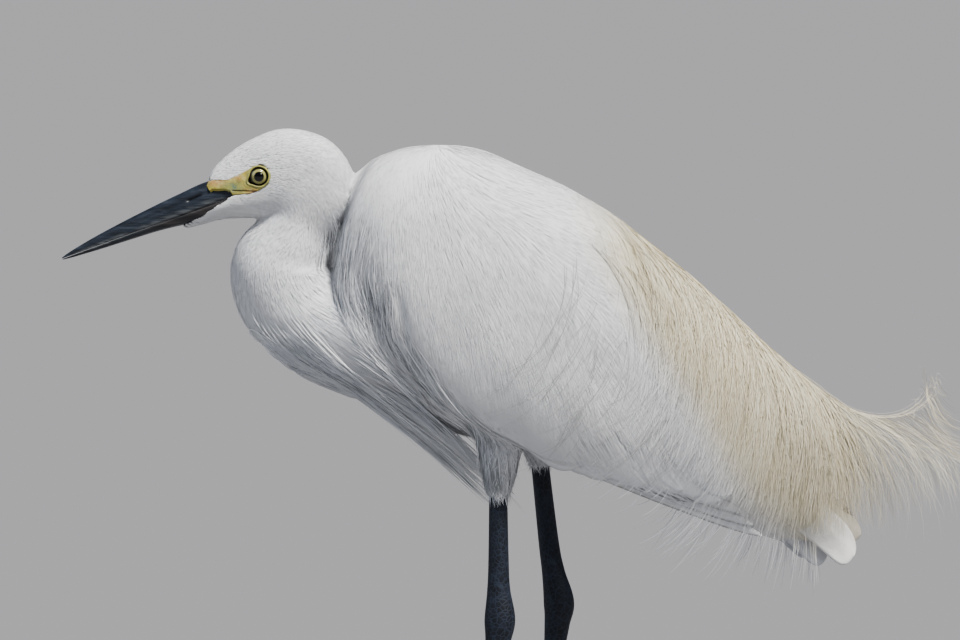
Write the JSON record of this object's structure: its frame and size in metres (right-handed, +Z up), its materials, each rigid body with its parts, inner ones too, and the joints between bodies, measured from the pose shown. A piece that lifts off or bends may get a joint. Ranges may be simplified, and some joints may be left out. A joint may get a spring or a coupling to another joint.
{
  "type": "little egret",
  "caption": "Life-size white little egret in breeding plumes, standing at rest with drawn-in neck, level dagger bill, folded wings and a long train of back plumes.",
  "frame": {"origin": "on the floor, under the middle of the bird's bounding box", "axes": "+Z up, the bird faces -X with its left side towards -Y"},
  "size_m": [0.4766, 0.1106, 0.3525],
  "materials": {
    "plumage": "soft white feathers",
    "plumes": "cream filamentous plumes",
    "bill": "blue-black horn, satin",
    "eye": "pale yellow iris, black pupil, wet gloss",
    "leg": "black scaled skin",
    "foot": "yellow scaled skin, black claws"
  },
  "bodies": {
    "root": {"head": "plumage", "neck_upper": "plumage", "neck_lower": "plumage", "breast": "plumage", "torso": "plumage", "wing_left": "plumage", "wing_right": "plumage", "tail": "plumage", "thigh_left": "plumage", "thigh_right": "plumage", "mantle": "plumes", "bill_upper": "bill", "bill_lower": "bill", "eye_left": "eye", "eye_right": "eye", "shank_left": "leg", "shank_right": "leg", "tarsus_left": "leg", "tarsus_right": "leg", "foot_left": "foot", "foot_right": "foot"}
  },
  "joints": []
}
